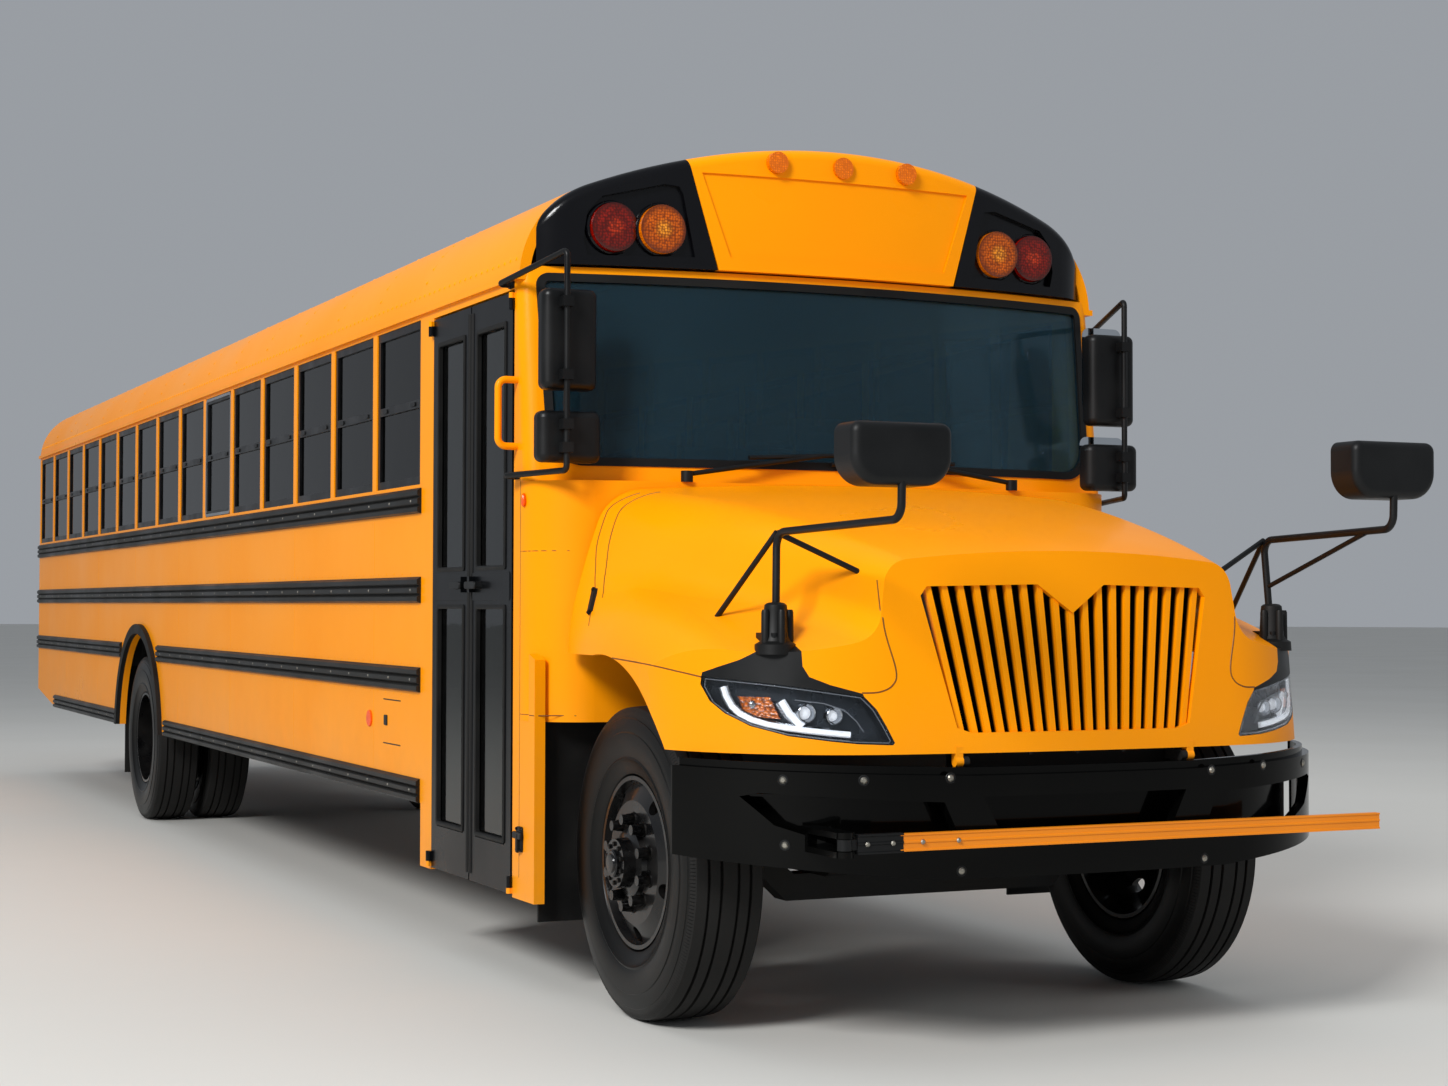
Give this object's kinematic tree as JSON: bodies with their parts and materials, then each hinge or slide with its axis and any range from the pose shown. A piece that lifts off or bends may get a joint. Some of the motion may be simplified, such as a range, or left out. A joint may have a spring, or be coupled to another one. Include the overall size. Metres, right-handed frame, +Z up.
{
  "type": "school bus",
  "caption": "Full-size conventional school bus with long windowed body, tilting hood, steered front axle, twin rear wheels and folding entry doors.",
  "frame": {"origin": "on the ground, at the centre of the bus's whole length and width", "axes": "+Z up, the front faces -Y, the bus's left side is +X"},
  "size_m": [2.61, 13.882, 3.122],
  "materials": {
    "body_paint": "gloss",
    "black_paint": "satin",
    "chassis_paint": "matte",
    "black_plastic": "textured",
    "bright_steel": "satin",
    "wheel_paint": "satin",
    "tyre": "matte",
    "rubber": "matte",
    "side_glass": "gloss",
    "screen_glass": "gloss",
    "door_glass": "gloss",
    "lamp_glass": "gloss",
    "amber": "gloss",
    "red": "gloss",
    "stop_red": "gloss",
    "seat_vinyl": "satin",
    "floor_rubber": "matte",
    "dash_plastic": "matte",
    "white_lid": "satin",
    "alu": "satin"
  },
  "bodies": {
    "chassis": {"frame_rails": "chassis_paint", "front_axle": "chassis_paint", "rear_axle": "chassis_paint", "leaf_springs": "chassis_paint", "engine": "chassis_paint", "radiator": "alu", "driveline": "chassis_paint", "fuel_tank": "chassis_paint", "exhaust": "bright_steel", "front_bumper": "black_paint", "rear_bumper": "black_paint", "floor": "floor_rubber", "side_panels": "body_paint", "window_bands": "body_paint", "roof": "body_paint", "front_cap": "body_paint", "lamp_pods": "black_plastic", "cowl": "body_paint", "rear_wall": "body_paint", "rub_rails": "black_paint", "arch_trims": "rubber", "window_sashes": "black_paint", "window_glass": "side_glass", "windshield": "screen_glass", "seat_benches": "seat_vinyl", "driver_seat": "seat_vinyl", "dashboard": "dash_plastic", "wipers": "black_plastic", "side_mirrors": "black_plastic", "amber_lamps": "amber", "red_lamps": "red", "grab_handle": "body_paint", "mud_flaps": "rubber", "screen_gasket": "rubber"},
    "hood": {"hood_shell": "body_paint", "grille": "body_paint", "headlamps": "lamp_glass", "lamp_brows": "black_plastic", "crossview_mirrors": "black_plastic"},
    "knuckle_right": {"knuckle_right": "chassis_paint"},
    "knuckle_left": {"knuckle_left": "chassis_paint"},
    "track_rod": {"tie_rod": "chassis_paint"},
    "front_wheel_right": {"front_tyre_right": "tyre", "front_rim_right": "wheel_paint"},
    "front_wheel_left": {"front_tyre_left": "tyre", "front_rim_left": "wheel_paint"},
    "rear_wheels_right": {"rear_tyres_right": "tyre", "rear_rims_right": "wheel_paint"},
    "rear_wheels_left": {"rear_tyres_left": "tyre", "rear_rims_left": "wheel_paint"},
    "door_leaf_front": {"door_front": "black_paint", "door_glass_front": "door_glass"},
    "door_leaf_rear": {"door_rear": "black_paint", "door_glass_rear": "door_glass"},
    "emergency_door": {"rear_door": "body_paint", "rear_door_glass": "side_glass"},
    "hatch_lid_front": {"hatch_front": "white_lid"},
    "hatch_lid_rear": {"hatch_rear": "white_lid"},
    "stop_arm": {"stop_arm": "stop_red"},
    "crossing_gate": {"crossing_gate": "body_paint"}
  },
  "joints": [
    {"name": "hood_tilt", "type": "hinge", "parent": "chassis", "child": "hood", "pos_m": [0, -6.4555, 0.9], "axis": [1, 0, 0], "range_deg": [0, 55]},
    {"name": "steer_right", "type": "hinge", "parent": "chassis", "child": "knuckle_right", "pos_m": [-0.85, -5.4435, 0.52], "axis": [0, 0, 1], "range_deg": [-35, 35]},
    {"name": "steer_left", "type": "hinge", "parent": "chassis", "child": "knuckle_left", "pos_m": [0.85, -5.4435, 0.52], "axis": [0, 0, 1], "range_deg": [-35, 35]},
    {"name": "track_rod_pivot", "type": "hinge", "parent": "knuckle_right", "child": "track_rod", "pos_m": [-0.775, -5.2535, 0.4067], "axis": [0, 0, 1], "range_deg": [-35, 35]},
    {"name": "front_roll_right", "type": "hinge", "parent": "knuckle_right", "child": "front_wheel_right", "pos_m": [-0.958, -5.4435, 0.52], "axis": [1, 0, 0], "continuous": true},
    {"name": "front_roll_left", "type": "hinge", "parent": "knuckle_left", "child": "front_wheel_left", "pos_m": [0.958, -5.4435, 0.52], "axis": [1, 0, 0], "continuous": true},
    {"name": "rear_roll_right", "type": "hinge", "parent": "chassis", "child": "rear_wheels_right", "pos_m": [-0.905, 2.4825, 0.52], "axis": [1, 0, 0], "continuous": true},
    {"name": "rear_roll_left", "type": "hinge", "parent": "chassis", "child": "rear_wheels_left", "pos_m": [0.905, 2.4825, 0.52], "axis": [1, 0, 0], "continuous": true},
    {"name": "entry_front", "type": "hinge", "parent": "chassis", "child": "door_leaf_front", "pos_m": [-1.231, -4.6555, 1.42], "axis": [0, 0, 1], "range_deg": [0, 85]},
    {"name": "entry_rear", "type": "hinge", "parent": "chassis", "child": "door_leaf_rear", "pos_m": [-1.231, -3.6935, 1.42], "axis": [0, 0, -1], "range_deg": [0, 85]},
    {"name": "emergency_swing", "type": "hinge", "parent": "chassis", "child": "emergency_door", "pos_m": [-0.426, 6.8995, 1.8], "axis": [0, 0, 1], "range_deg": [0, 110]},
    {"name": "hatch_lift_front", "type": "hinge", "parent": "chassis", "child": "hatch_lid_front", "pos_m": [0, -1.5295, 3.104], "axis": [1, 0, 0], "range_deg": [0, 70]},
    {"name": "hatch_lift_rear", "type": "hinge", "parent": "chassis", "child": "hatch_lid_rear", "pos_m": [0, 3.3005, 3.104], "axis": [1, 0, 0], "range_deg": [0, 70]},
    {"name": "stop_swing", "type": "hinge", "parent": "chassis", "child": "stop_arm", "pos_m": [1.293, -3.4275, 1.615], "axis": [0, 0, -1], "range_deg": [0, 90]},
    {"name": "gate_swing", "type": "hinge", "parent": "chassis", "child": "crossing_gate", "pos_m": [-0.88, -6.5815, 0.677], "axis": [0, 0, -1], "range_deg": [0, 90]}
  ],
  "couplings": [
    {"joint": "steer_left", "follows": "steer_right", "ratio": 1},
    {"joint": "track_rod_pivot", "follows": "steer_right", "ratio": -1},
    {"joint": "entry_rear", "follows": "entry_front", "ratio": 1}
  ]
}
